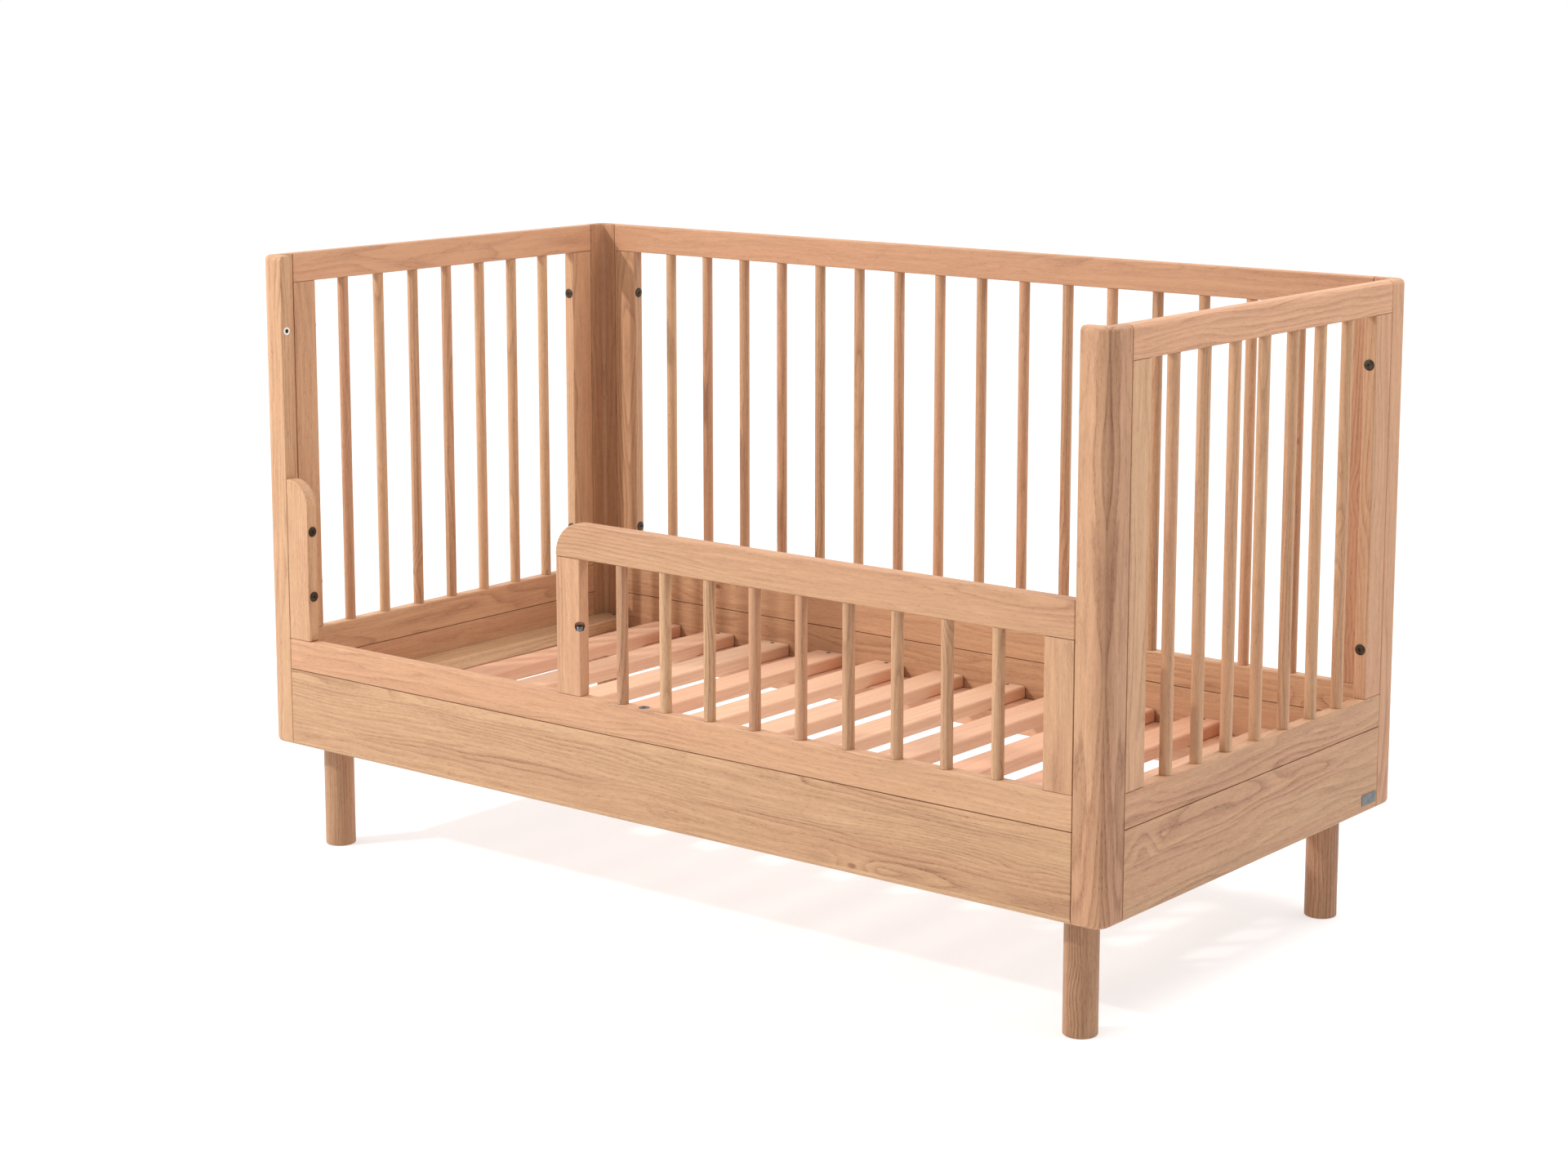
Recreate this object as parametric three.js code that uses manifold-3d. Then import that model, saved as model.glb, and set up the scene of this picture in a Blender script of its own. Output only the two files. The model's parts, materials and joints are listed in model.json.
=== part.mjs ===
// A cot bed in oak, set up for a toddler: two barred ends, a barred back, a low front with a
// short guard rail, four turned feet, and a slatted base that lifts to higher positions.
// Millimetres. +X runs along the length, +Y to the back, +Z up. The origin is on the floor,
// under the middle of the bed.
import * as THREE from "three";
import { mergeVertices } from "three/addons/utils/BufferGeometryUtils.js";
import Module from "manifold-3d";

const wasm = await Module();
wasm.setup();

// ---- driving dimensions -------------------------------------------------------------------
const LENGTH = 1460;
const WIDTH = 740;
const HEIGHT = 885;
const THICK = 18.5; // every rail, stile and board of the four sides
const GAP = 0.3; // clearance between pieces that touch
const OVERSHOOT = 1; // how far a drill starts outside the wood
const EDGE = 2.5; // rounding of the long edges of rails and stiles

// heights of the joints up the side of the bed
const BODY_BOTTOM = 160;
const BOARD_TOP = 276;
const LEDGE_TOP = 321;
const RAIL_BOTTOM = 842;

// corner posts: an angle in plan, one flange along each side
const POST_X = 44;
const POST_Y = 47;
const POST_OUTER_RADIUS = 20;
const POST_INNER_RADIUS = 7;
const POST_BEVEL = 2; // less than EDGE, so that the flanges' ends stay sound

// barred panels
const STILE = 43.5;
const BAR_DIAMETER = 16;
const BAR_SIDES = 12; // also the sides of each stud and bolt hole
const NECK_SIDES = 6; // where a bar joins its tongue
const BACK_BARS = { count: 16, pitch: 76.2 };
const END_BARS = { count: 7, pitch: 72.2 };
const TONGUE = { width: 7, depth: 10, overhang: 12 }; // the strip that the bars stand on

// the low front: a short upright at the left and a guard rail at the right
const GUARD_RAIL_BOTTOM = 510.5;
const GUARD_TOP = 559;
const GUARD_LEFT = -150.5;
const GUARD_POST = 44;
const GUARD_BARS = 9;
const GUARD_END_RADIUS = 44;
const STUB_RADIUS = 36;

// feet and their corner blocks
const LEG = { insetX: 70.3, insetY: 66.7, radius: 22.2, foot: 1.5, boreDepth: 40 };
const BLOCK = { x: 98, y: 96, clearance: 4 };
const STUD = { radius: 4, bore: 4.4, length: 62 };

// slatted base
const SLAT = { count: 11, width: 55, thick: 19, pitch: 113, length: 700, edge: 4 };
const BASE_TOP = 237;
const BASE_CENTRE_X = -8.5; // the base sits hard against the left end
const END_SLAT = { width: 49.5, offset: 677.5, corner: 8 };
const BEARER = { width: 92, height: 29, inset: 25 }; // the flat rails under the slats

// hardware
const BOLT = {
  headRadius: 7.5,
  head: 2.2,
  bevelIn: 0.8,
  bevelDown: 0.6,
  recess: 1.2,
  shank: 3,
  bore: 3.4,
  depth: 20,
};
const STUB_BOLT_HEIGHTS = { lower: 388, upper: 484.5 };
const POCKET = { radius: 7, depth: 12, height: 418 }; // drilled into the guard post's arris
const FIXING = { inset: 5.4, head: 5.2, headHeight: 5, seat: 6, shank: 3, bore: 3.4, into: 25 };
const PLATE = { width: 40, height: 15, thick: 0.6, fromPost: 3.5, centreZ: 179.5, corner: 2 };

// ---- derived places -----------------------------------------------------------------------
const HALF_X = LENGTH / 2;
const HALF_Y = WIDTH / 2;
const POST_FACE_X = HALF_X - POST_X; // where the front and back panels meet the posts
const POST_FACE_Y = HALF_Y - POST_Y; // where the end panels meet the posts
const FRONT_MID = -HALF_Y + THICK / 2;
const SLAT_BOTTOM = BASE_TOP - SLAT.thick;
const BEARER_BOTTOM = SLAT_BOTTOM - BEARER.height;

// ---- materials ----------------------------------------------------------------------------
const wood = (colour) =>
  new THREE.MeshStandardMaterial({ color: colour, roughness: 0.55, metalness: 0 });
const metal = (colour, roughness) =>
  new THREE.MeshStandardMaterial({ color: colour, roughness, metalness: 0.9 });
const OAK = wood(0xdcae86);
const OAK_SHADED = wood(0xc99a70);
const BEECH = wood(0xe6bb9c);
const BRONZE = metal(0x3a332c, 0.45);
const STEEL = metal(0x8d9094, 0.35);
const PLATE_GREY = metal(0x77797c, 0.4);

const bed = new THREE.Group();

function addMesh(name, geometry, material) {
  const mesh = new THREE.Mesh(geometry, material);
  mesh.name = name;
  bed.add(mesh);
  return mesh;
}

// ---- geometry helpers ---------------------------------------------------------------------
const X = new THREE.Vector3(1, 0, 0);
const Y = new THREE.Vector3(0, 1, 0);
const Z = new THREE.Vector3(0, 0, 1);
// which axes a flat outline's u, v and extrusion directions become
const FRAMES = { x: [Y, Z, X], y: [Z, X, Y], z: [X, Y, Z] };
const OUTLINE_AXES = { x: ["y", "z"], y: ["z", "x"], z: ["x", "y"] };

function extrudeAlong(axis, shape, from, to, options = {}) {
  const bevel = options.bevel ?? 0;
  const geometry = new THREE.ExtrudeGeometry(shape, {
    depth: to - from - 2 * bevel,
    curveSegments: options.curveSegments ?? 2,
    bevelEnabled: bevel > 0,
    bevelThickness: bevel,
    bevelSize: bevel,
    bevelOffset: -bevel,
    bevelSegments: 1,
  });
  geometry.translate(0, 0, from + bevel);
  return geometry.applyMatrix4(new THREE.Matrix4().makeBasis(...FRAMES[axis]));
}

const QUARTER_TURN = 0.5523; // how far a cubic's handles reach to follow a quarter circle

// A closed outline through square corners [u, v, radius], each rounded by its own radius.
function roundedOutline(corners) {
  const shape = new THREE.Shape();
  corners.forEach(([u, v, radius], i) => {
    const at = new THREE.Vector2(u, v);
    const [pu, pv] = corners.at(i - 1);
    const [nu, nv] = corners[(i + 1) % corners.length];
    const back = new THREE.Vector2(pu, pv).sub(at).normalize().multiplyScalar(radius);
    const on = new THREE.Vector2(nu, nv).sub(at).normalize().multiplyScalar(radius);
    const start = at.clone().add(back);
    const end = at.clone().add(on);
    if (i === 0) shape.moveTo(start.x, start.y);
    else shape.lineTo(start.x, start.y);
    if (radius > 0) {
      const leave = start.clone().lerp(at, QUARTER_TURN);
      const arrive = end.clone().lerp(at, QUARTER_TURN);
      shape.bezierCurveTo(leave.x, leave.y, arrive.x, arrive.y, end.x, end.y);
    }
  });
  return shape;
}

function rectangle([u0, u1], [v0, v1], radius) {
  return roundedOutline([
    [u0, v0, radius],
    [u1, v0, radius],
    [u1, v1, radius],
    [u0, v1, radius],
  ]);
}

// A straight bar of rounded section that fills the box, running along the axis given.
function barGeometry(box, axis, edge = EDGE) {
  const [u, v] = OUTLINE_AXES[axis];
  return extrudeAlong(axis, rectangle(box[u], box[v], edge), ...box[axis]);
}

function cylinderAlong(axis, radius, centre, from, to, sides) {
  const geometry = new THREE.CylinderGeometry(radius, radius, to - from, sides);
  if (axis === "x") geometry.rotateZ(-Math.PI / 2);
  if (axis === "z") geometry.rotateX(Math.PI / 2);
  const place = { x: 0, y: 0, z: 0, ...centre };
  place[axis] = (from + to) / 2;
  return geometry.translate(place.x, place.y, place.z);
}

function toSolid(geometry) {
  const bare = geometry.clone();
  bare.deleteAttribute("normal");
  bare.deleteAttribute("uv");
  const merged = mergeVertices(bare, 1e-3);
  return new wasm.Manifold(
    new wasm.Mesh({
      numProp: 3,
      vertProperties: merged.attributes.position.array,
      triVerts: new Uint32Array(merged.index.array),
    }),
  );
}

function toGeometry(solid) {
  const mesh = solid.getMesh();
  const geometry = new THREE.BufferGeometry();
  geometry.setAttribute("position", new THREE.BufferAttribute(mesh.vertProperties, 3));
  geometry.setIndex(new THREE.BufferAttribute(mesh.triVerts, 1));
  geometry.computeVertexNormals();
  return geometry;
}

const join = (first, ...rest) =>
  toGeometry(rest.reduce((sum, g) => sum.add(toSolid(g)), toSolid(first)));
const cut = (first, ...rest) =>
  toGeometry(rest.reduce((left, g) => left.subtract(toSolid(g)), toSolid(first)));

const centredRow = (count, pitch, centre = 0) =>
  Array.from({ length: count }, (_, i) => centre + (i - (count - 1) / 2) * pitch);

// ---- corner posts -------------------------------------------------------------------------
// sx and sy are the signs of the corner that the post stands on.
function addPost(name, sx, sy) {
  const corners = [
    [HALF_X, HALF_Y, POST_OUTER_RADIUS],
    [POST_FACE_X, HALF_Y, EDGE],
    [POST_FACE_X, HALF_Y - THICK, EDGE],
    [HALF_X - THICK, HALF_Y - THICK, POST_INNER_RADIUS],
    [HALF_X - THICK, POST_FACE_Y, EDGE],
    [HALF_X, POST_FACE_Y, EDGE],
  ].map(([u, v, radius]) => [sx * u, sy * v, radius]);
  const post = extrudeAlong("z", roundedOutline(corners), BODY_BOTTOM, HEIGHT, {
    bevel: POST_BEVEL,
    curveSegments: 4,
  });
  const bores = name === "post_front_left" ? stubBoltBores() : [];
  addMesh(name, bores.length ? cut(post, ...bores) : post, OAK);
}

// ---- barred panels ------------------------------------------------------------------------
// A panel lies in the plane across `across`, centred at `mid`, and runs between ±half along
// `along`.
function panelBox(panel, [from, to], [bottom, top]) {
  return {
    [panel.across]: [panel.mid - THICK / 2, panel.mid + THICK / 2],
    [panel.along]: [from, to],
    z: [bottom, top],
  };
}

function grooveBox(panel, places, clearance) {
  const half = TONGUE.width / 2 + clearance;
  const reach = TONGUE.overhang + clearance;
  return {
    [panel.across]: [panel.mid - half, panel.mid + half],
    [panel.along]: [places[0] - reach, places.at(-1) + reach],
    z: [LEDGE_TOP - TONGUE.depth - clearance, LEDGE_TOP + clearance],
  };
}

function addLedge(name, panel, places, drills = []) {
  const half = panel.half - GAP;
  const ledge = barGeometry(panelBox(panel, [-half, half], [BOARD_TOP, LEDGE_TOP]), panel.along);
  const groove = barGeometry(grooveBox(panel, places, GAP), panel.along, 0);
  addMesh(name, cut(ledge, groove, ...drills), OAK);
}

// The round bars stand in one row on a tongue that is glued into the ledge's groove.
function addBars(name, panel, places, top) {
  const strip = barGeometry(
    { ...grooveBox(panel, places, 0), z: [LEDGE_TOP - TONGUE.depth, LEDGE_TOP] },
    panel.along,
    0,
  );
  const from = LEDGE_TOP - TONGUE.depth / 2;
  const necks = places.map((at) =>
    cylinderAlong(
      "z",
      TONGUE.width / 2 - GAP,
      { [panel.across]: panel.mid, [panel.along]: at },
      from,
      LEDGE_TOP + 2 * GAP,
      NECK_SIDES,
    ),
  );
  const shafts = places.map((at) =>
    cylinderAlong(
      "z",
      BAR_DIAMETER / 2,
      { [panel.across]: panel.mid, [panel.along]: at },
      LEDGE_TOP + GAP,
      top - GAP,
      BAR_SIDES,
    ),
  );
  addMesh(name, join(strip, ...necks, ...shafts), OAK);
}

function addBoard(name, panel) {
  const half = panel.half - GAP;
  const box = panelBox(panel, [-half, half], [BODY_BOTTOM, BOARD_TOP - GAP]);
  addMesh(name, barGeometry(box, panel.along), OAK);
}

function addUpright(name, panel, span, top) {
  addMesh(name, barGeometry(panelBox(panel, span, [LEDGE_TOP + GAP, top - GAP]), "z"), OAK);
}

function addBarredPanel(prefix, panel, bars, [lowStile, highStile]) {
  const half = panel.half - GAP;
  const places = centredRow(bars.count, bars.pitch);
  const rail = panelBox(panel, [-half, half], [RAIL_BOTTOM, HEIGHT]);
  addMesh(`${prefix}_top_rail`, barGeometry(rail, panel.along), OAK);
  addLedge(`${prefix}_ledge_rail`, panel, places);
  addBoard(`${prefix}_board`, panel);
  addUpright(`${prefix}_stile_${lowStile}`, panel, [-half, -half + STILE], RAIL_BOTTOM);
  addUpright(`${prefix}_stile_${highStile}`, panel, [half - STILE, half], RAIL_BOTTOM);
  addBars(`${prefix}_bars`, panel, places, RAIL_BOTTOM);
}

// ---- the low front ------------------------------------------------------------------------
function stubBoltBores() {
  return Object.values(STUB_BOLT_HEIGHTS).map((height) =>
    cylinderAlong(
      "x",
      BOLT.bore,
      { y: FRONT_MID, z: height },
      -POST_FACE_X - BOLT.depth - GAP,
      -POST_FACE_X + STILE + OVERSHOOT,
      BAR_SIDES,
    ),
  );
}

function stubHeadRecesses() {
  return Object.values(STUB_BOLT_HEIGHTS).map((height) =>
    cylinderAlong(
      "x",
      BOLT.headRadius + GAP,
      { y: FRONT_MID, z: height },
      -POST_FACE_X + STILE - BOLT.recess,
      -POST_FACE_X + STILE + OVERSHOOT,
      BAR_SIDES * 2,
    ),
  );
}

function addStub(front) {
  const left = -POST_FACE_X + GAP;
  const right = -POST_FACE_X + STILE;
  const outline = roundedOutline([
    [LEDGE_TOP + GAP, left, 0],
    [GUARD_TOP, left, EDGE],
    [GUARD_TOP, right, STUB_RADIUS],
    [LEDGE_TOP + GAP, right, 0],
  ]);
  const blank = extrudeAlong("y", outline, front.mid - THICK / 2, front.mid + THICK / 2, {
    bevel: EDGE / 2,
    curveSegments: 8,
  });
  addMesh("front_short_upright", cut(blank, ...stubBoltBores(), ...stubHeadRecesses()), OAK);
}

// A flat-headed bolt lying along X, its head at the right.
function addStubBolt(name, height) {
  const seat = -POST_FACE_X + STILE - BOLT.recess + GAP;
  const tip = -POST_FACE_X - BOLT.depth;
  const profile = [
    [0, tip],
    [BOLT.shank, tip],
    [BOLT.shank, seat],
    [BOLT.headRadius, seat],
    [BOLT.headRadius, seat + BOLT.head - BOLT.bevelDown],
    [BOLT.headRadius - BOLT.bevelIn, seat + BOLT.head],
    [0, seat + BOLT.head],
  ].map(([radius, along]) => new THREE.Vector2(radius, along));
  const bolt = new THREE.LatheGeometry(profile, BAR_SIDES * 2).rotateZ(-Math.PI / 2);
  addMesh(name, bolt.translate(0, FRONT_MID, height), BRONZE);
}

// The guard post is bolted down to the ledge: the bolt's head sits in a round pocket that is
// drilled into the post's outer arris at 45 degrees.
function pocketDrill(postRight) {
  const drill = cylinderAlong("x", POCKET.radius, {}, -POCKET.depth, POCKET.depth, BAR_SIDES * 2);
  return drill.rotateZ(-Math.PI / 4).translate(postRight, -HALF_Y, POCKET.height);
}

const fixingPlace = (postRight) => ({
  x: postRight - FIXING.inset,
  y: -HALF_Y + FIXING.inset,
});
const FIXING_SEAT = POCKET.height - FIXING.seat - GAP;

function fixingDrills(postRight) {
  const place = fixingPlace(postRight);
  const bottom = LEDGE_TOP - FIXING.into - GAP;
  return [
    cylinderAlong("z", FIXING.seat, place, FIXING_SEAT, POCKET.height, BAR_SIDES * 2),
    cylinderAlong("z", FIXING.bore, place, bottom, POCKET.height, BAR_SIDES),
  ];
}

function addFixingBolt(postRight) {
  const { x, y } = fixingPlace(postRight);
  const top = FIXING_SEAT + GAP + FIXING.headHeight;
  const profile = [
    [0, LEDGE_TOP - FIXING.into],
    [FIXING.shank, LEDGE_TOP - FIXING.into],
    [FIXING.shank, FIXING_SEAT + GAP],
    [FIXING.head, FIXING_SEAT + GAP],
    [FIXING.head, top],
    [0, top],
  ].map(([radius, height]) => new THREE.Vector2(radius, height));
  const bolt = new THREE.LatheGeometry(profile, BAR_SIDES).rotateX(Math.PI / 2);
  addMesh("guard_fixing_bolt", bolt.translate(x, y, 0), STEEL);
}

function addGuard(front) {
  const right = POST_FACE_X - GAP;
  const places = centredRow(BACK_BARS.count, BACK_BARS.pitch).slice(-GUARD_BARS);
  const outline = roundedOutline([
    [GUARD_RAIL_BOTTOM, GUARD_LEFT, EDGE],
    [GUARD_RAIL_BOTTOM, right, 0],
    [GUARD_TOP, right, 0],
    [GUARD_TOP, GUARD_LEFT, GUARD_END_RADIUS],
  ]);
  const rail = extrudeAlong("y", outline, front.mid - THICK / 2, front.mid + THICK / 2, {
    bevel: EDGE / 2,
    curveSegments: 8,
  });
  addMesh("guard_top_rail", rail, OAK);

  const postRight = GUARD_LEFT + GUARD_POST;
  const post = barGeometry(
    panelBox(front, [GUARD_LEFT, postRight], [LEDGE_TOP + GAP, GUARD_RAIL_BOTTOM - GAP]),
    "z",
  );
  addMesh("guard_end_post", cut(post, pocketDrill(postRight), ...fixingDrills(postRight)), OAK);
  addFixingBolt(postRight);
  addUpright("guard_stile_right", front, [right - STILE, right], GUARD_RAIL_BOTTOM);
  addBars("guard_bars", front, places, GUARD_RAIL_BOTTOM);
  return places;
}

// ---- feet, studs and corner blocks --------------------------------------------------------
function addCorner(name, sx, sy) {
  const place = [sx * (HALF_X - LEG.insetX), sy * (HALF_Y - LEG.insetY)];
  const footTop = BODY_BOTTOM - GAP;
  const profile = [
    [0, 0],
    [LEG.radius - LEG.foot, 0],
    [LEG.radius, LEG.foot],
    [LEG.radius, footTop],
    [STUD.bore, footTop],
    [STUD.bore, footTop - LEG.boreDepth],
    [0, footTop - LEG.boreDepth],
  ].map(([radius, height]) => new THREE.Vector2(radius, height));
  const leg = new THREE.LatheGeometry(profile, BAR_SIDES * 2).rotateX(Math.PI / 2);
  addMesh(`leg_${name}`, leg.translate(...place, 0), OAK);

  const stud = cylinderAlong(
    "z",
    STUD.radius,
    { x: place[0], y: place[1] },
    footTop - LEG.boreDepth + GAP,
    footTop - LEG.boreDepth + GAP + STUD.length,
    BAR_SIDES,
  );
  addMesh(`leg_stud_${name}`, stud, STEEL);

  const outerX = HALF_X - THICK - GAP;
  const outerY = HALF_Y - THICK - GAP;
  const corners = [
    [outerX - BLOCK.x, outerY - BLOCK.y, 0],
    [outerX, outerY - BLOCK.y, 0],
    [outerX, outerY, POST_INNER_RADIUS + BLOCK.clearance],
    [outerX - BLOCK.x, outerY, 0],
  ].map(([u, v, radius]) => [sx * u, sy * v, radius]);
  const outline = roundedOutline(corners);
  const against = sx * sy > 0; // a hole turns against its outline, which the signs may mirror
  outline.holes.push(new THREE.Path().absarc(...place, STUD.bore, 0, 2 * Math.PI, against));
  const block = extrudeAlong("z", outline, BODY_BOTTOM, BEARER_BOTTOM - GAP, {
    curveSegments: 8,
  });
  addMesh(`leg_block_${name}`, block, OAK_SHADED);
}

// ---- slatted base -------------------------------------------------------------------------
function addBase() {
  const halfSlat = SLAT.length / 2;
  const acrossX = (centre, width) => [centre - width / 2, centre + width / 2];
  for (const [side, sign] of [["front", -1], ["back", 1]]) {
    const edges = [sign * halfSlat, sign * (halfSlat - BEARER.width)].sort((a, b) => a - b);
    const reach = END_SLAT.offset + END_SLAT.width / 2 - BEARER.inset;
    const box = {
      x: [BASE_CENTRE_X - reach, BASE_CENTRE_X + reach],
      y: edges,
      z: [BEARER_BOTTOM, SLAT_BOTTOM - GAP],
    };
    addMesh(`base_bearer_${side}`, barGeometry(box, "x"), BEECH);
  }
  for (const [side, sign] of [["left", -1], ["right", 1]]) {
    const centre = BASE_CENTRE_X + sign * END_SLAT.offset;
    const outline = rectangle(
      acrossX(centre, END_SLAT.width),
      [-halfSlat, halfSlat],
      END_SLAT.corner,
    );
    addMesh(`base_end_slat_${side}`, extrudeAlong("z", outline, SLAT_BOTTOM, BASE_TOP), OAK);
  }
  centredRow(SLAT.count, SLAT.pitch, BASE_CENTRE_X).forEach((centre, i) => {
    const box = {
      x: acrossX(centre, SLAT.width),
      y: [-halfSlat, halfSlat],
      z: [SLAT_BOTTOM, BASE_TOP],
    };
    addMesh(`slat_${String(i + 1).padStart(2, "0")}`, barGeometry(box, "y", SLAT.edge), BEECH);
  });
}

function addPlate() {
  const high = POST_FACE_Y - PLATE.fromPost;
  const outline = rectangle(
    [high - PLATE.width, high],
    [PLATE.centreZ - PLATE.height / 2, PLATE.centreZ + PLATE.height / 2],
    PLATE.corner,
  );
  const face = HALF_X + GAP / 2;
  addMesh("maker_plate", extrudeAlong("x", outline, face, face + PLATE.thick), PLATE_GREY);
}

// ---- assembly -----------------------------------------------------------------------------
const CORNERS = { front_left: [-1, -1], front_right: [1, -1], back_left: [-1, 1], back_right: [1, 1] };
for (const [name, signs] of Object.entries(CORNERS)) {
  addPost(`post_${name}`, ...signs);
  addCorner(name, ...signs);
}

const endPanel = (sign) => ({
  across: "x",
  along: "y",
  mid: sign * (HALF_X - THICK / 2),
  half: POST_FACE_Y,
});
const longPanel = (sign) => ({
  across: "y",
  along: "x",
  mid: sign * (HALF_Y - THICK / 2),
  half: POST_FACE_X,
});
addBarredPanel("left_end", endPanel(-1), END_BARS, ["front", "back"]);
addBarredPanel("right_end", endPanel(1), END_BARS, ["front", "back"]);
addBarredPanel("back", longPanel(1), BACK_BARS, ["left", "right"]);

const front = longPanel(-1);
addBoard("front_board", front);
addStub(front);
for (const [name, height] of Object.entries(STUB_BOLT_HEIGHTS)) {
  addStubBolt(`front_upright_bolt_${name}`, height);
}
addLedge("front_ledge_rail", front, addGuard(front), fixingDrills(GUARD_LEFT + GUARD_POST));

addBase();
addPlate();

export default bed;
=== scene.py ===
"""An oak cot bed set up for a toddler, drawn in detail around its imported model.

Metres. +X runs along the length, +Y to the back and +Z up, as in the frame. Every wooden piece is
rebuilt from its CAD node's box with rounded edges, and carries three vertex attributes for the
wood shader: "grain", the point along, across and through the piece; "piece", its own seed and the
staves that it is glued up from; and "shade", how dark and how warm it is.
"""
import json
import math
import random

import bmesh
import bpy
from mathutils import Matrix, Vector


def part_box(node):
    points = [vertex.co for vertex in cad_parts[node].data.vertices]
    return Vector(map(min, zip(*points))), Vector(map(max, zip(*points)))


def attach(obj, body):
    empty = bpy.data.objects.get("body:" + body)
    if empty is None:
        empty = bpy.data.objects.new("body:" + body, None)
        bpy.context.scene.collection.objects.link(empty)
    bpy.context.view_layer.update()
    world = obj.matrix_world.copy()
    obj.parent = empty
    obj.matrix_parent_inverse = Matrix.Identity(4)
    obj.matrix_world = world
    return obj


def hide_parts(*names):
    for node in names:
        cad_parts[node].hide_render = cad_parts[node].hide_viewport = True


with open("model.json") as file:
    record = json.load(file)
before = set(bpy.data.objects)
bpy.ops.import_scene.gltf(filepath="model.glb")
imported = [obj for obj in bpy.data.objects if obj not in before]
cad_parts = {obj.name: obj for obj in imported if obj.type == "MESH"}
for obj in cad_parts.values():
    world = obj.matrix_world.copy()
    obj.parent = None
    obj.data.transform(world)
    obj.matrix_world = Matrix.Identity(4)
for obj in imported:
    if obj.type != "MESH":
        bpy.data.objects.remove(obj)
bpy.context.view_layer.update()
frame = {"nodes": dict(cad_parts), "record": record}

MM = 0.001
BODY_OF = {
    node: body
    for body, nodes in frame["record"]["behaviour"]["bodies"].items()
    for node in nodes
}
LEDGE_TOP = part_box("front_ledge_rail")[1].z
CORNERS = ("front_left", "front_right", "back_left", "back_right")
chance = random.Random(7)

# ---- sizes that the CAD boxes don't give ---------------------------------------------------
FREE_EDGE = 2.5 * MM  # long edges that a hand can reach
JOINT_EDGE = 0.9 * MM  # edges that meet another piece, which leave a fine groove
END_EDGE = 0.45 * MM  # the ends of rails and stiles
OUTER_EDGE = 7 * MM  # the outer top and bottom edges of the four sides
GROOVE = {"wide": 0.7 * MM, "deep": 5 * MM}  # the shadow line where two pieces meet
SLAT_EDGE = 4 * MM
# the edges of the rails: outer top, outer bottom, inner top and inner bottom
TOP_RAIL_EDGES = (OUTER_EDGE, 1.5 * MM, FREE_EDGE, 1.5 * MM)
LEDGE_EDGES = (FREE_EDGE, JOINT_EDGE, FREE_EDGE, JOINT_EDGE)
BOARD_EDGES = (JOINT_EDGE, OUTER_EDGE, JOINT_EDGE, 2 * MM)
THICK = 18.5 * MM
POST_OUTER_RADIUS = 20 * MM
POST_COVE = 7 * MM
POST_EDGE = 1.6 * MM
STUB_CORNER = 37 * MM
GUARD_CORNER = 45 * MM
BAR_RADIUS = 8 * MM
END_BARS = {"count": 7, "pitch": 72.2 * MM}
BACK_BARS = {"count": 16, "pitch": 76.2 * MM}
GUARD_BARS = {"count": 9, "pitch": 76.2 * MM}
BOARD_STAVE = 47 * MM  # how wide the staves are that a board is glued up from
LEG_STAVE = 19 * MM
ONE_STAVE = 1.0  # wider than any piece
PLAIN_TONE = 0.18  # how far a piece's colour lies towards the wood's dark
TONE_SPREAD = 0.05  # how far pieces alike stray from each other
WARMTH_SPREAD = 0.25
POST_TONE = 0.21
FRONT_TONE = 0.24
# the legs' darkness: partly the wood's tone, partly painted shade from under the bed
LEG_SHADE_TONE = 0.42
# how much darker each post's arm in the end panel is: painted shade, strongest on the front right
# post's side away from the key lamp
SIDE_ARM_SHADE_TONES = {"front_right": 0.22, "front_left": 0.04, "back_right": 0.02, "back_left": 0.05}
STILE_BOLT_HEIGHTS = (389 * MM, 775.5 * MM)
STUB_BOLT_HEIGHTS = {"lower": 388 * MM, "upper": 484.5 * MM}
POST_INSERT_HEIGHT = 775.8 * MM
PLATE_CORNER = 2 * MM
PLATE_EDGE = 0.25 * MM
END_SLAT_CORNER = 8 * MM
BLOCK_CORNER = 11 * MM  # wider than the post's cove
STUD_BORE = {"radius": 4.4 * MM, "depth": 40 * MM}
OVERRUN = 2 * MM  # how far a drill reaches past each face of a piece that it goes through
BAR_GAP = 0.3 * MM  # from a bar's foot to the ledge rail
# the tool pocket in the guard rail's end post, the length of its drill that stays outside, and
# the bolt's seat below it
POCKET = {"radius": 7 * MM, "depth": 12 * MM, "height": 418 * MM, "outside": 20 * MM}
SEAT = {"radius": 6 * MM, "depth": 6.3 * MM}

# ---- point of view and light ---------------------------------------------------------------
CAMERA_AT = (2.579, -3.284, 1.288)
CAMERA_AZIMUTH = math.radians(38.68)
CAMERA_ELEVATION = math.radians(9.33)
CAMERA_LENS = 68.78
CAMERA_SHIFT = -0.078
FLOOR_REACH = 40
SKY = {"level": 1.0, "overhead": 0.3, "dark_side": 0.78, "dark_towards": (0.72, -0.69, 0.05)}
LAMP_COLOUR = (1.0, 0.98, 0.95)
LAMPS_AIM = (0, 0, 0.4)
LAMPS = {
    "key": {"at": (-3.1, -3.95, 3.5), "watts": 164, "size": 0.2},
    "left_bank": {"at": (-1.9, -2.0, 1.9), "watts": 14, "size": 1.2},
    "right_bank": {"at": (1.5, 0.7, 2.7), "watts": 32, "size": 1.2},
}


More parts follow.
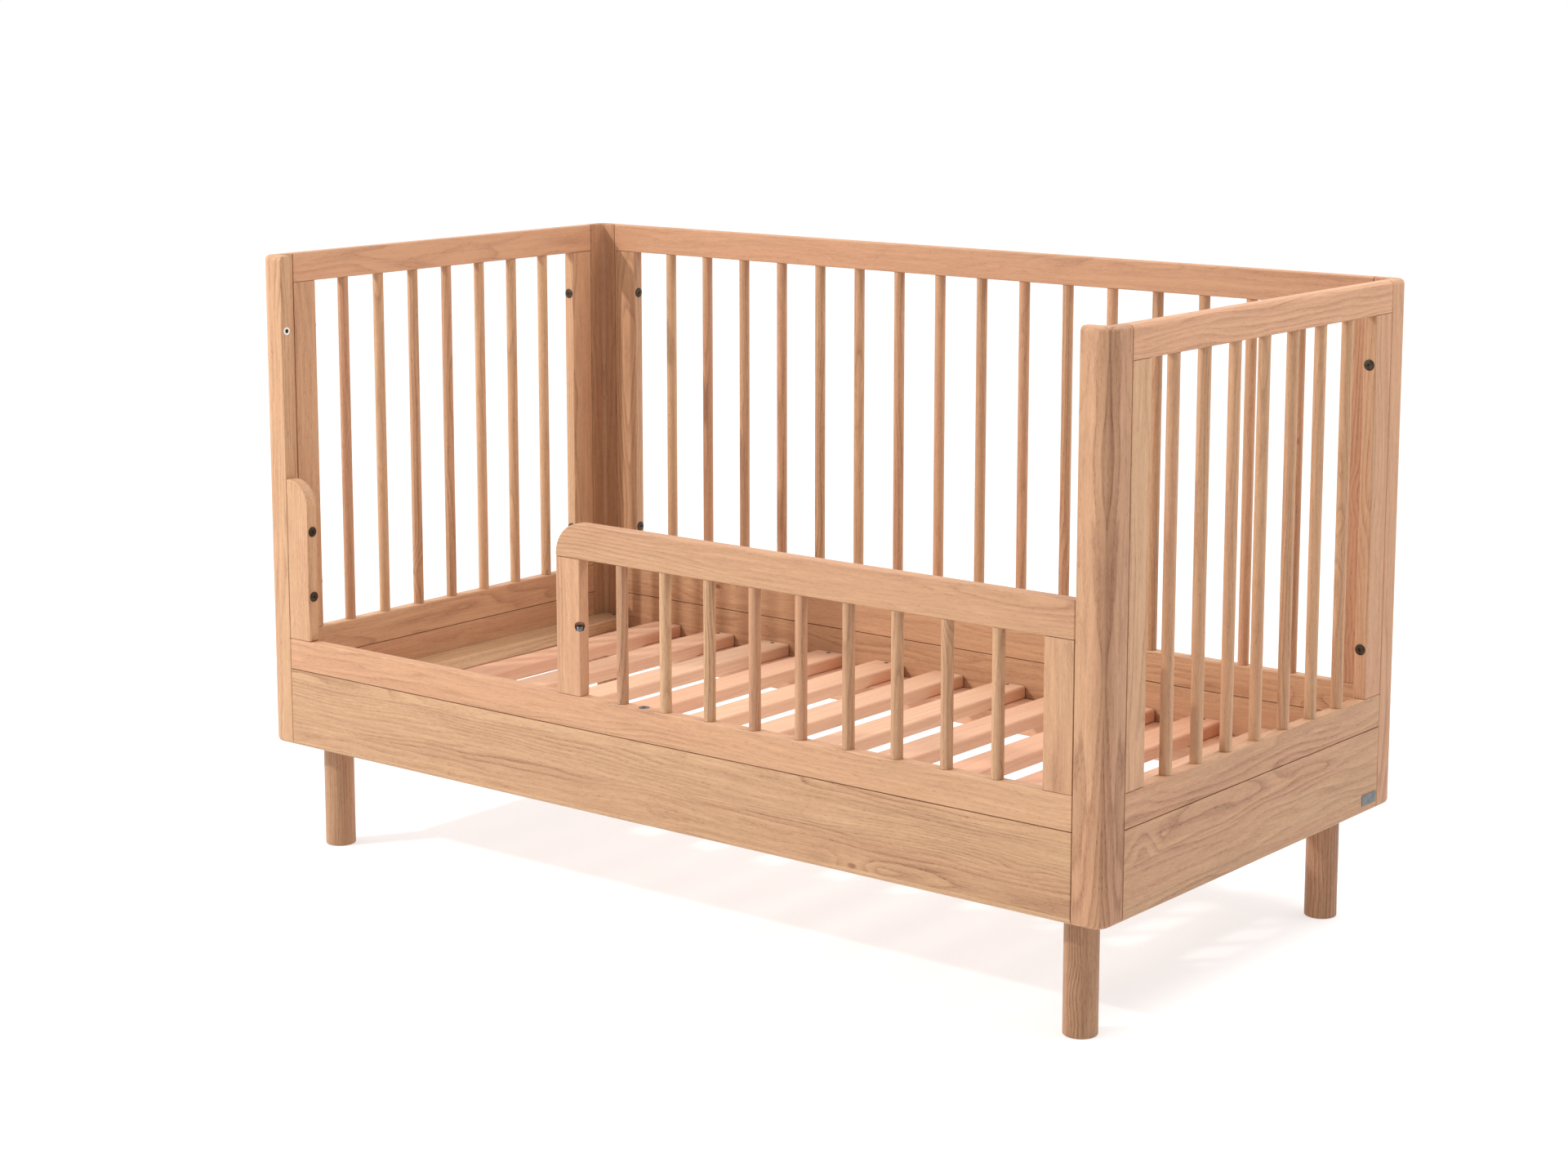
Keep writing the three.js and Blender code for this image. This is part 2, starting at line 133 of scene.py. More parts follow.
# ---- shader helpers ------------------------------------------------------------------------
class Graph:
    """The node tree of a material or world, built by calls that return the new node's output."""

    def __init__(self, owner):
        owner.use_nodes = True
        self.owner = owner
        self.tree = owner.node_tree
        self.tree.nodes.clear()

    def node(self, kind, inputs=(), **settings):
        made = self.tree.nodes.new(kind)
        for key, value in settings.items():
            setattr(made, key, value)
        for key, value in dict(inputs).items():
            if isinstance(value, bpy.types.NodeSocket):
                self.tree.links.new(value, made.inputs[key])
            else:
                made.inputs[key].default_value = value
        return made

    def math(self, operation, *values, clamp=False):
        made = self.node("ShaderNodeMath", enumerate(values), operation=operation, use_clamp=clamp)
        return made.outputs[0]

    def vector(self, operation, *values):
        made = self.node("ShaderNodeVectorMath", enumerate(values), operation=operation)
        return made.outputs["Value" if operation in ("LENGTH", "DOT_PRODUCT") else "Vector"]

    def attribute(self, name):
        made = self.node("ShaderNodeAttribute", attribute_name=name, attribute_type="GEOMETRY")
        return made.outputs["Vector"]

    def split(self, vector):
        return self.node("ShaderNodeSeparateXYZ", {0: vector}).outputs

    def join(self, x, y, z):
        return self.node("ShaderNodeCombineXYZ", {0: x, 1: y, 2: z}).outputs[0]

    def noise(self, vector, detail=2.0, roughness=0.5, colour=False):
        made = self.node(
            "ShaderNodeTexNoise",
            {"Vector": vector, "Scale": 1.0, "Detail": detail, "Roughness": roughness},
        )
        return made.outputs["Color" if colour else "Fac"]

    def band(self, value, low, high, to_low=0.0, to_high=1.0):
        made = self.node(
            "ShaderNodeMapRange",
            {0: value, 1: low, 2: high, 3: to_low, 4: to_high},
            interpolation_type="SMOOTHSTEP",
        )
        return made.outputs[0]

    def ramp(self, value, stops):
        made = self.node("ShaderNodeValToRGB", {0: value})
        elements = made.color_ramp.elements
        while len(elements) < len(stops):
            elements.new(0.5)
        for element, (position, shade) in zip(elements, stops):
            element.position = position
            element.color = (shade, shade, shade, 1)
        return made.outputs[0]

    def mix(self, factor, low, high):
        made = self.node("ShaderNodeMix", {0: factor}, data_type="RGBA", clamp_factor=True)
        for socket, value in ((made.inputs[6], low), (made.inputs[7], high)):
            if isinstance(value, bpy.types.NodeSocket):
                self.tree.links.new(value, socket)
            else:
                socket.default_value = (*value, 1)
        return made.outputs[2]

    def surface(self, **inputs):
        values = {key.replace("_", " "): value for key, value in inputs.items()}
        shader = self.node("ShaderNodeBsdfPrincipled", values)
        self.node("ShaderNodeOutputMaterial", {"Surface": shader.outputs[0]})
        return self.owner


def srgb(*channels):
    """A colour given as 0 to 255 screen values, made linear."""
    shares = [c / 255 for c in channels]
    return tuple(s / 12.92 if s <= 0.04045 else ((s + 0.055) / 1.055) ** 2.4 for s in shares)


# ---- wood ----------------------------------------------------------------------------------
def wood(
    name, light, warm, dark, knotty,
    ring_gap, ring_depth, pore_depth, streak_depth, knot_depth, rough,
):
    """Solid timber: growth rings round a pith beside the piece, fibres, pores and knots."""
    g = Graph(bpy.data.materials.new(name))
    along, across, through = g.split(g.attribute("grain"))
    seed, stave_shift, stave_width = g.split(g.attribute("piece"))
    tone, warmth, _ = g.split(g.attribute("shade"))

    stave = g.math("FLOOR", g.math("ADD", g.math("DIVIDE", across, stave_width), stave_shift))
    draw = g.node(
        "ShaderNodeTexWhiteNoise",
        {"Vector": g.join(seed, g.math("MULTIPLY", stave, 3.7), 0.5)},
        noise_dimensions="3D",
    )
    luck_1, luck_2, luck_3 = g.split(draw.outputs["Color"])
    straight = g.join(
        g.math("ADD", along, g.math("MULTIPLY", luck_3, 9.0)),
        g.math("ADD", across, g.math("MULTIPLY", stave, 0.31)),
        g.math("ADD", through, seed),
    )
    bend = g.noise(g.vector("MULTIPLY", straight, (3.0, 12.0, 12.0)), detail=1.0, colour=True)
    bend = g.vector("MULTIPLY", g.vector("SUBTRACT", bend, (0.5, 0.5, 0.5)), (0.0, 0.03, 0.03))
    shifted = g.vector("ADD", straight, bend)

    def scaled(x, y, z):
        return g.vector("MULTIPLY", shifted, (x, y, z))

    # knots, which also turn the rings aside
    cells = g.node(
        "ShaderNodeTexVoronoi",
        {"Vector": scaled(5.0, 9.0, 9.0), "Scale": 1.0, "Randomness": 1.0},
        feature="F1",
    )
    knot_distance = cells.outputs["Distance"]
    swirl = g.band(knot_distance, 0.0, 0.26, 1.0, 0.0)
    knot = g.band(knot_distance, 0.018, 0.05, 1.0, 0.0)

    # rings
    pith_across = g.math("MULTIPLY", g.math("SUBTRACT", luck_1, 0.5), 0.13)
    pith_through = g.math("ADD", g.math("MULTIPLY", luck_2, 0.09), 0.02)
    wave = g.noise(scaled(2.2, 14.0, 14.0), detail=2.0)
    ripple = g.noise(scaled(16.0, 70.0, 70.0), detail=1.0)
    radius = g.vector(
        "LENGTH",
        g.join(0.0, g.math("ADD", across, pith_across), g.math("ADD", through, pith_through)),
    )
    radius = g.math("ADD", radius, g.math("MULTIPLY", wave, 0.05))
    radius = g.math("ADD", radius, g.math("MULTIPLY", ripple, 0.0016))
    radius = g.math("ADD", radius, g.math("MULTIPLY", swirl, 0.011))
    ring = g.math("FRACT", g.math("DIVIDE", radius, ring_gap))
    ring_line = g.ramp(ring, [(0.0, 0.15), (0.10, 1.0), (0.30, 0.55), (0.75, 0.05), (1.0, 0.15)])
    ring_show = g.band(g.noise(scaled(1.7, 22.0, 22.0), detail=1.0), 0.34, 0.66, 0.15, 1.0)
    ring_shade = g.math("MULTIPLY", g.math("MULTIPLY", ring_line, ring_show), ring_depth)

    # fibres and pores
    fibre = g.noise(scaled(70.0, 950.0, 950.0), detail=3.0, roughness=0.6)
    streak = g.noise(scaled(11.0, 300.0, 300.0), detail=3.0, roughness=0.6)
    stripe = g.noise(scaled(2.6, 120.0, 120.0), detail=2.0, roughness=0.5)
    pore_noise = g.noise(scaled(130.0, 1900.0, 1900.0), detail=1.0)
    pore = g.band(pore_noise, 0.55, 0.72)
    pore_shade = g.math(
        "MULTIPLY", g.math("MULTIPLY", pore, g.math("ADD", ring_line, 0.3)), pore_depth
    )

    # colour
    drift = g.noise(scaled(1.3, 11.0, 11.0), detail=2.0)
    tint = g.math("ADD", warmth, g.math("MULTIPLY", g.math("SUBTRACT", drift, 0.5), 1.6))
    tint = g.math("ADD", tint, g.math("MULTIPLY", g.math("SUBTRACT", luck_3, 0.5), 0.3))
    colour = g.mix(g.band(tint, 0.0, 1.0), light, warm)
    shade = g.math("ADD", g.math("ADD", ring_shade, pore_shade), tone)
    depths = ((fibre, streak_depth), (streak, streak_depth), (stripe, 0.3), (luck_1, 0.16))
    for part, depth in depths:
        shade = g.math("ADD", shade, g.math("MULTIPLY", g.math("SUBTRACT", part, 0.5), depth))
    colour = g.mix(g.math("ADD", shade, 0.0, clamp=True), colour, dark)
    colour = g.mix(g.math("MULTIPLY", knot, knot_depth), colour, knotty)

    height = g.math("SUBTRACT", g.math("MULTIPLY", fibre, 0.5), g.math("MULTIPLY", pore_shade, 1.0))
    height = g.math("SUBTRACT", height, g.math("MULTIPLY", ring_line, 0.25))
    bump = g.node("ShaderNodeBump", {"Strength": 0.35, "Distance": 0.0004, "Height": height})
    return g.surface(
        Base_Color=colour,
        Roughness=g.band(fibre, 0.25, 0.75, rough - 0.06, rough + 0.08),
        Normal=bump.outputs[0],
        Specular_IOR_Level=0.35,
    )


# ---- metal ---------------------------------------------------------------------------------
def metal(name, colour, worn, rough, grain_scale, metallic=1.0):
    """Plated or painted metal with a fine cloud of tarnish in its colour and polish."""
    g = Graph(bpy.data.materials.new(name))
    place = g.node("ShaderNodeTexCoord").outputs["Object"]
    cloud = g.noise(g.vector("MULTIPLY", place, (grain_scale,) * 3), detail=3.0)
    fine = g.noise(g.vector("MULTIPLY", place, (grain_scale * 6,) * 3), detail=2.0)
    bump = g.node("ShaderNodeBump", {"Strength": 0.2, "Distance": 0.00008, "Height": fine})
    return g.surface(
        Base_Color=g.mix(g.band(cloud, 0.35, 0.7), colour, worn),
        Metallic=metallic,
        Roughness=g.band(fine, 0.3, 0.7, rough - 0.07, rough + 0.1),
        Normal=bump.outputs[0],
    )


OAK = wood(
    "lacquered_oak",
    light=srgb(208, 168, 129),
    warm=srgb(204, 154, 119),
    dark=srgb(118, 70, 44),
    knotty=srgb(122, 66, 40),
    ring_gap=5.0 * MM,
    ring_depth=0.36,
    pore_depth=0.34,
    streak_depth=0.5,
    knot_depth=0.75,
    rough=0.5,
)
BEECH = wood(
    "sanded_beech",
    light=srgb(230, 189, 157),
    warm=srgb(222, 169, 137),
    dark=srgb(150, 96, 70),
    knotty=srgb(150, 96, 70),
    ring_gap=6.5 * MM,
    ring_depth=0.16,
    pore_depth=0.12,
    streak_depth=0.2,
    knot_depth=0.35,
    rough=0.56,
)
BRONZE = metal(
    "dark_bronze", srgb(58, 50, 42), srgb(84, 72, 58),
    rough=0.42, grain_scale=180, metallic=0.8,
)
ZINC = metal(
    "zinc_plate", srgb(128, 134, 142), srgb(98, 104, 112),
    rough=0.34, grain_scale=140,
)
PLATE = metal(
    "grey_plate", srgb(120, 121, 122), srgb(104, 105, 107),
    rough=0.4, grain_scale=90,
)
RING_WHITE = metal(
    "pale_ring", srgb(236, 234, 228), srgb(222, 219, 211),
    rough=0.4, grain_scale=160, metallic=0.0,
)
# near black: painted shade for the bottoms of the bolt sockets and for the post insert's hole
SOCKET_SHADE = metal(
    "socket_shadow", srgb(22, 21, 21), srgb(34, 31, 29),
    rough=0.6, grain_scale=200, metallic=0.3,
)


# ---- mesh helpers --------------------------------------------------------------------------
# A flat outline lies in the two other axes, in alphabetical order, and runs along the third.
PLACE = {
    "x": lambda u, v, w: (w, u, v),
    "y": lambda u, v, w: (u, w, v),
    "z": lambda u, v, w: (u, v, w),
}
FINE_STEPS, ARC_STEPS, WIDE_STEPS = 2, 6, 18  # flats in a rounding under 1 mm, under 10 mm, over it
SAME_PLACE = 1e-6
SHARP_ANGLE = math.radians(40)
ARC_INSET = 0.3  # just over how far a rounded corner's middle lies in from both sides, in radii


def rounded(corners):
    """A closed outline through square corners (u, v, radius), each radius a true arc."""
    points = []
    for i, (u, v, radius) in enumerate(corners):
        at = Vector((u, v))
        if radius == 0:
            points.append(tuple(at))
            continue
        back = (Vector(corners[i - 1][:2]) - at).normalized()
        on = (Vector(corners[(i + 1) % len(corners)][:2]) - at).normalized()
        centre = at + (back + on) * radius
        steps = FINE_STEPS if radius < 1 * MM else ARC_STEPS if radius < 10 * MM else WIDE_STEPS
        for k in range(steps + 1):
            turn = k / steps * math.pi / 2
            points.append(
                tuple(centre - on * radius * math.cos(turn) - back * radius * math.sin(turn))
            )
    return points


def grooved(corners, side):
    """The same corners with one side, counted from the first corner on, stepped in near both of
    its ends. The corners run anticlockwise."""
    count = len(corners)
    start, stop = Vector(corners[side][:2]), Vector(corners[(side + 1) % count][:2])
    along = (stop - start).normalized()
    step = Vector((-along.y, along.x)) * GROOVE["wide"]
    reach = along * GROOVE["deep"]
    path = [start + step, start + step + reach, start + reach]
    path += [stop - reach, stop - reach + step, stop + step]
    radii = [corners[side][2], 0, 0, 0, 0, corners[(side + 1) % count][2]]
    made = [(*at, radius) for at, radius in zip(path, radii)]
    others = [corners[(side + 2 + k) % count] for k in range(count - 2)]
    return made + others


def prism(axis, outline, low, high):
    """The outline carried along an axis from low to high."""
    bm = bmesh.new()
    rings = [
        [bm.verts.new(PLACE[axis](u, v, w)) for u, v in outline]
        for w in (low, high)
    ]
    for i in range(len(outline)):
        j = (i + 1) % len(outline)
        bm.faces.new((rings[0][i], rings[0][j], rings[1][j], rings[1][i]))
    for ring in rings:
        bm.faces.new(ring)
    bmesh.ops.recalc_face_normals(bm, faces=bm.faces)
    return bm


def round_off(bm, chosen, radius, segments=3):
    """Rounds over the edges for which chosen(edge) is true."""
    edges = [edge for edge in bm.edges if chosen(edge)]
    bmesh.ops.bevel(
        bm,
        geom=edges,
        offset=radius,
        offset_type="OFFSET",
        segments=segments,
        profile=0.5,
        affect="EDGES",
        clamp_overlap=False,
    )


def is_sharp(edge):
    """True where two faces meet at an angle that should stay crisp."""
    return len(edge.link_faces) == 2 and edge.calc_face_angle(0) > SHARP_ANGLE


def lathe(profile, sides):
    """A turned solid about Z from (radius, height) points, bottom first."""
    bm = bmesh.new()
    rings = []
    for radius, height in profile:
        if radius == 0:
            rings.append([bm.verts.new((0, 0, height))] * sides)
            continue
        turns = [2 * math.pi * k / sides for k in range(sides)]
        rings.append(
            [bm.verts.new((radius * math.cos(t), radius * math.sin(t), height)) for t in turns]
        )
    for below, above in zip(rings, rings[1:]):
        for i in range(sides):
            j = (i + 1) % sides
            corners = []
            for vert in (below[i], below[j], above[j], above[i]):
                if vert not in corners:
                    corners.append(vert)
            bm.faces.new(corners)
    return bm


def rod(radius, low, high, sides=32):
    """A straight rod about Z."""
    return lathe([(0, low), (radius, low), (radius, high), (0, high)], sides)


def moved(bm, matrix):
    """The same mesh, turned and shifted."""
    bmesh.ops.transform(bm, matrix=matrix, verts=bm.verts)
    return bm


def gather(meshes):
    """One bmesh that holds several, each a solid of its own."""
    whole = bmesh.new()
    for bm in meshes:
        mesh = bpy.data.meshes.new("part")
        bm.to_mesh(mesh)
        bm.free()
        whole.from_mesh(mesh)
        bpy.data.meshes.remove(mesh)
    return whole


def drilled(bm, drills):
    """The solid with each drill taken out of it in turn."""
    parts = []
    for part in (bm, *drills):
        mesh = bpy.data.meshes.new("part")
        part.to_mesh(mesh)
        part.free()
        parts.append(bpy.data.objects.new("part", mesh))
        bpy.context.scene.collection.objects.link(parts[-1])
    blank = parts[0]
    for tool in parts[1:]:
        cut = blank.modifiers.new("drill", "BOOLEAN")
        cut.operation = "DIFFERENCE"
        cut.solver = "EXACT"
        cut.object = tool
    result = bmesh.new()
    result.from_mesh(blank.evaluated_get(bpy.context.evaluated_depsgraph_get()).to_mesh())
    for part in parts:
        bpy.data.objects.remove(part)
    return result


def add_piece(name, bm, material, nodes, body=None):
    """Makes the object, smooths it with flat faces kept flat, and rides it on its nodes' body."""
    for face in bm.faces:
        face.smooth = True
    for edge in bm.edges:
        edge.smooth = not is_sharp(edge)
    mesh = bpy.data.meshes.new(name)
    bm.to_mesh(mesh)
    bm.free()
    mesh.materials.append(material)
    piece = bpy.data.objects.new(name, mesh)
    bpy.context.scene.collection.objects.link(piece)
    even = piece.modifiers.new("even_normals", "WEIGHTED_NORMAL")
    even.keep_sharp = True
    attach(piece, BODY_OF[nodes[0]] if nodes else body)
    if nodes:
        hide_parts(*nodes)


def mark_grain(bm, axis, stave=ONE_STAVE, tone=PLAIN_TONE, warmth=0.5):
    """Stores where each vertex lies in the timber, along the grain, across it and through it, and
    how dark and how warm the piece is."""
    where = bm.verts.layers.float_vector.new("grain")
    piece = bm.verts.layers.float_vector.new("piece")
    shade = bm.verts.layers.float_vector.new("shade")
    low = Vector([min(v.co[i] for v in bm.verts) for i in range(3)])
    high = Vector([max(v.co[i] for v in bm.verts) for i in range(3)])
    size = high - low
    along = "xyz".index(axis)
    across, through = sorted((i for i in range(3) if i != along), key=lambda i: -size[i])
    centre = (low + high) / 2
    flip = chance.choice((-1, 1))
    seed = chance.uniform(0, 40)
    shift = chance.uniform(0, 1) if stave < ONE_STAVE else 0.5
    own_tone = tone + chance.uniform(-TONE_SPREAD, TONE_SPREAD)
    own_warmth = warmth + chance.uniform(-WARMTH_SPREAD, WARMTH_SPREAD)
    for vert in bm.verts:
        vert[shade] = (own_tone, own_warmth, 0)
        local = vert.co - centre
        vert[where] = (flip * local[along], local[across], local[through])
        vert[piece] = (seed, shift, stave)
    return bm


# ---- wooden pieces -------------------------------------------------------------------------
def sides_of(node):
    """The low and high end of a node's box along each axis."""
    low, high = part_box(node)
    return [(low[i], high[i]) for i in range(3)]


def rail(node, axis, edges, stave=ONE_STAVE, joins_above=False, **shade):
    """A horizontal piece of one of the four sides. Its outer face is the one away from the middle.
    It has a shadow line at both ends, and also along its top if another piece joins it there. The
    edges are the radii at the outer top, outer bottom, inner top and inner bottom."""
    outer_top, outer_bottom, inner_top, inner_bottom = edges
    spans = sides_of(node)
    run = spans.pop("xy".index(axis))
    (u0, u1), (z0, z1) = spans
    outward = (u0 + u1) > 0
    low_side = (inner_bottom, inner_top) if outward else (outer_bottom, outer_top)
    high_side = (outer_bottom, outer_top) if outward else (inner_bottom, inner_top)
    corners = [(u0, z0, low_side[0]), (u1, z0, high_side[0])]
    corners += [(u1, z1, high_side[1]), (u0, z1, low_side[1])]
    bm = prism(axis, rounded(grooved(corners, 2) if joins_above else corners), *run)
    round_ends(bm, "xyz".index(axis), run)
    draw_in_ends(bm, "xyz".index(axis), run, (u0, u1))
    add_piece(f"{node}_oak", mark_grain(bm, axis, stave, **shade), OAK, [node])


def round_ends(bm, index, run, radius=END_EDGE):
    """Rounds over every edge that lies in one of the two end faces."""
    def at_an_end(edge):
        places = [vert.co[index] for vert in edge.verts]
        return any(max(abs(p - end) for p in places) < SAME_PLACE for end in run)

    round_off(bm, at_an_end, radius, segments=2)


def draw_in_ends(bm, index, run, faces):
    """Slants both ends of a rail in near its two faces, which leaves a shadow line at each post."""
    across = 1 - index
    for face, way in zip(faces, (1, -1)):
        at, normal = Vector((0, 0, 0)), Vector((0, 0, 0))
        at[across] = face + way * GROOVE["deep"]
        normal[across] = 1
        everything = bm.verts[:] + bm.edges[:] + bm.faces[:]
        bmesh.ops.bisect_plane(bm, geom=everything, plane_co=at, plane_no=normal)
    for vert in bm.verts:
        depth = min(abs(vert.co[across] - face) for face in faces)
        for end, way in zip(run, (1, -1)):
            if abs(vert.co[index] - end) < 2 * END_EDGE:
                vert.co[index] += way * GROOVE["wide"] * max(0, 1 - depth / GROOVE["deep"])


def bar(
    node, axis, edges, material=OAK, suffix="oak", end=END_EDGE, drills=(), joined_side=None,
    **shade,
):
    """A straight piece whose section is its box's, with one radius for each long edge, in the
    order low-low, high-low, high-high, low-high. A joined side has a shadow line at both edges."""
    spans = sides_of(node)
    index = "xyz".index(axis)
    run = spans.pop(index)
    (u0, u1), (v0, v1) = spans
    corners = [(*c, r) for c, r in zip([(u0, v0), (u1, v0), (u1, v1), (u0, v1)], edges)]
    if joined_side is not None:
        corners = grooved(corners, joined_side)
    bm = prism(axis, rounded(corners), *run)
    round_ends(bm, index, run, end)
    if drills:
        bm = drilled(bm, drills)
    add_piece(f"{node}_{suffix}", mark_grain(bm, axis, **shade), material, [node])


def stile(node, panel_axis, **shade):
    """An upright beside a post: its edges are crisp at the post and soft where the bars begin."""
    low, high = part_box(node)
    index = "xy".index(panel_axis)
    towards_high = low[index] + high[index] > 0
    soft, crisp = FREE_EDGE, JOINT_EDGE
    low_edge, high_edge = (soft, crisp) if towards_high else (crisp, soft)
    if panel_axis == "x":
        edges = (low_edge, high_edge, high_edge, low_edge)
        bar(node, "z", edges, joined_side=1 if towards_high else 3, **shade)
    else:
        edges = (low_edge, low_edge, high_edge, high_edge)
        bar(node, "z", edges, joined_side=2 if towards_high else 0, **shade)


def post(node):
    """An angle in plan, with a round outer corner, a cove inside, and rounded outer ends."""
    low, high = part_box(node)
    sx = 1 if low.x > 0 else -1
    sy = 1 if low.y > 0 else -1
    outer = Vector((high.x if sx > 0 else low.x, high.y if sy > 0 else low.y))
    width, depth = high.x - low.x, high.y - low.y
    shape = [
        (0, 0, POST_OUTER_RADIUS),
        (width, 0, 0),
        (width, THICK, 0),
        (THICK, THICK, POST_COVE),
        (THICK, depth, 0),
        (0, depth, 0),
    ]
    outline = rounded([(outer.x - sx * u, outer.y - sy * v, r) for u, v, r in shape])
    bm = prism("z", outline, low.z, high.z)

    def outer_end(edge):
        """True for the upper and lower edges of the two outer faces and of the arc between them."""
        insets = [min(abs(outer.x - v.co.x), abs(outer.y - v.co.y)) for v in edge.verts]
        level = abs(edge.verts[0].co.z - edge.verts[1].co.z) < SAME_PLACE
        return level and max(insets) < POST_OUTER_RADIUS * ARC_INSET

    round_off(bm, outer_end, OUTER_EDGE, segments=6)
    round_off(bm, is_sharp, POST_EDGE, segments=3)
    mark_grain(bm, "z", tone=POST_TONE, warmth=0.75)
    where = bm.verts.layers.float_vector["grain"]
    shade = bm.verts.layers.float_vector["shade"]
    for vert in bm.verts:  # two boards meet along the outer corner, mirrored about it
        along_x, along_y = abs(outer.x - vert.co.x), abs(outer.y - vert.co.y)
        vert[where] = (vert.co.z, max(along_x, along_y), min(along_x, along_y))
        # the arm in the end panel is darkened as painted shade
        if along_y > along_x:
            vert[shade] = vert[shade] + Vector((SIDE_ARM_SHADE_TONES[node.removeprefix("post_")], 0, 0))
    add_piece(f"{node}_oak", bm, OAK, [node])


def bars(node, axis, count, pitch):
    """A row of round bars as wide as the node's row, standing on its ledge rail."""
    low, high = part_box(node)
    index = "xy".index(axis)
    ledge = LEDGE_TOP + BAR_GAP
    start = (low[index] + high[index]) / 2 - (count - 1) / 2 * pitch
    turned = []
    for k in range(count):
        place = (low + high) / 2
        place[index] = start + k * pitch
        stick = rod(BAR_RADIUS, 0, high.z - ledge)
        moved(stick, Matrix.Rotation(chance.uniform(0, math.pi), 4, "Z"))
        moved(stick, Matrix.Translation((place.x, place.y, ledge)))
        turned.append(mark_grain(stick, "z"))
    add_piece(f"{node}_oak", gather(turned), OAK, [node])


def leg(node):
    """A round foot with a soft bottom edge and a bore for its stud."""
    low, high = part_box(node)
    radius = (high.x - low.x) / 2
    top = high.z - low.z
    soft, steps = 2.2 * MM, 4
    profile = [(0, 0)]
    for k in range(steps + 1):
        turn = k / steps * math.pi / 2
        profile.append((radius - soft + soft * math.sin(turn), soft - soft * math.cos(turn)))
    bottom = top - STUD_BORE["depth"]
    profile += [(radius, top), (STUD_BORE["radius"], top)]
    profile += [(STUD_BORE["radius"], bottom), (0, bottom)]
    bm = moved(lathe(profile, sides=64), Matrix.Rotation(chance.uniform(0, math.pi), 4, "Z"))
    moved(bm, Matrix.Translation(((low.x + high.x) / 2, (low.y + high.y) / 2, low.z)))
    # a darker tone: partly painted shade under the bed
    add_piece(f"{node}_oak", mark_grain(bm, "z", LEG_STAVE, tone=LEG_SHADE_TONE), OAK, [node])


def slab(node, axis, radii, edge, drills=(), **shade):
    """A flat piece with its upper and lower edges rounded over, and one radius for each corner
    of its plan, in the order low-low, high-low, high-high, low-high."""
    low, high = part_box(node)
    places = [(low.x, low.y), (high.x, low.y), (high.x, high.y), (low.x, high.y)]
    bm = prism("z", rounded([(*at, r) for at, r in zip(places, radii)]), low.z, high.z)

    def around_a_face(rim):
        return any(all(abs(v.co.z - z) < SAME_PLACE for v in rim.verts) for z in (low.z, high.z))

    round_off(bm, around_a_face, edge, segments=4)
    if drills:
        bm = drilled(bm, drills)
    add_piece(f"{node}_oak", mark_grain(bm, axis, **shade), OAK, [node])


def corner_block(corner):
    """Fits inside the post, with its outer corner rounded to clear the cove, over a stud."""
    node = f"leg_block_{corner}"
    low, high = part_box(node)
    stud_low, stud_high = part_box(f"leg_stud_{corner}")
    outer = {"front_left": 0, "front_right": 1, "back_right": 2, "back_left": 3}[corner]
    radii = [BLOCK_CORNER if k == outer else 1.5 * MM for k in range(4)]
    bore = rod(STUD_BORE["radius"], 0, high.z - low.z + 2 * OVERRUN)
    middle = (stud_low + stud_high) / 2
    moved(bore, Matrix.Translation((middle.x, middle.y, low.z - OVERRUN)))
    slab(node, "x", radii, 1 * MM, drills=[bore])


for corner in CORNERS:
    post(f"post_{corner}")
    leg(f"leg_{corner}")
    corner_block(corner)

# the right end's darker tones are partly painted shade on its faces turned from the key lamp, and
# the left end's lighter ones are partly painted light on its inner faces
SIDE_SHADES = {  # tone and warmth of the top rail, the ledge rail, the board and the stiles
    "left_end": ((0.0, 0.65), (0.1, 0.5), (0.16, 0.5), (0.08, 0.5)),
    "right_end": ((0.08, 0.65), (0.3, 0.5), (0.36, 0.5), (0.18, 0.5)),
    "back": ((0.14, 0.7), (0.18, 0.7), (0.18, 0.6), (0.18, 0.5)),
}
for side, axis in (("left_end", "y"), ("right_end", "y"), ("back", "x")):
    shades = [{"tone": tone, "warmth": warmth} for tone, warmth in SIDE_SHADES[side]]
    top, ledge, board, upright = shades
    rail(f"{side}_top_rail", axis, TOP_RAIL_EDGES, **top)
    rail(f"{side}_ledge_rail", axis, LEDGE_EDGES, **ledge)
    rail(f"{side}_board", axis, BOARD_EDGES, stave=BOARD_STAVE, joins_above=True, **board)
    for end in ("left", "right") if side == "back" else ("front", "back"):
        stile(f"{side}_stile_{end}", axis, **upright)
bars("left_end_bars", "y", **END_BARS)
bars("right_end_bars", "y", **END_BARS)
bars("back_bars", "x", **BACK_BARS)

rail(
    "front_board", "x", BOARD_EDGES, stave=BOARD_STAVE, joins_above=True,
    tone=FRONT_TONE, warmth=0.3,
)
rail("front_ledge_rail", "x", LEDGE_EDGES, warmth=0.35)


def shaped_rail(node, corners):
    """A piece cut to an outline in X and Z, with its front and back edges rounded over."""
    low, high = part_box(node)
    shape = [
        (high.x if far else low.x, high.z if top else low.z, radius)
        for far, top, radius in corners
    ]
    bm = prism("y", rounded(shape), low.y, high.y)

    def on_a_face(edge):
        return any(all(abs(v.co.y - y) < SAME_PLACE for v in edge.verts) for y in (low.y, high.y))

    round_off(bm, on_a_face, FREE_EDGE - 0.6 * MM, segments=4)
    return bm


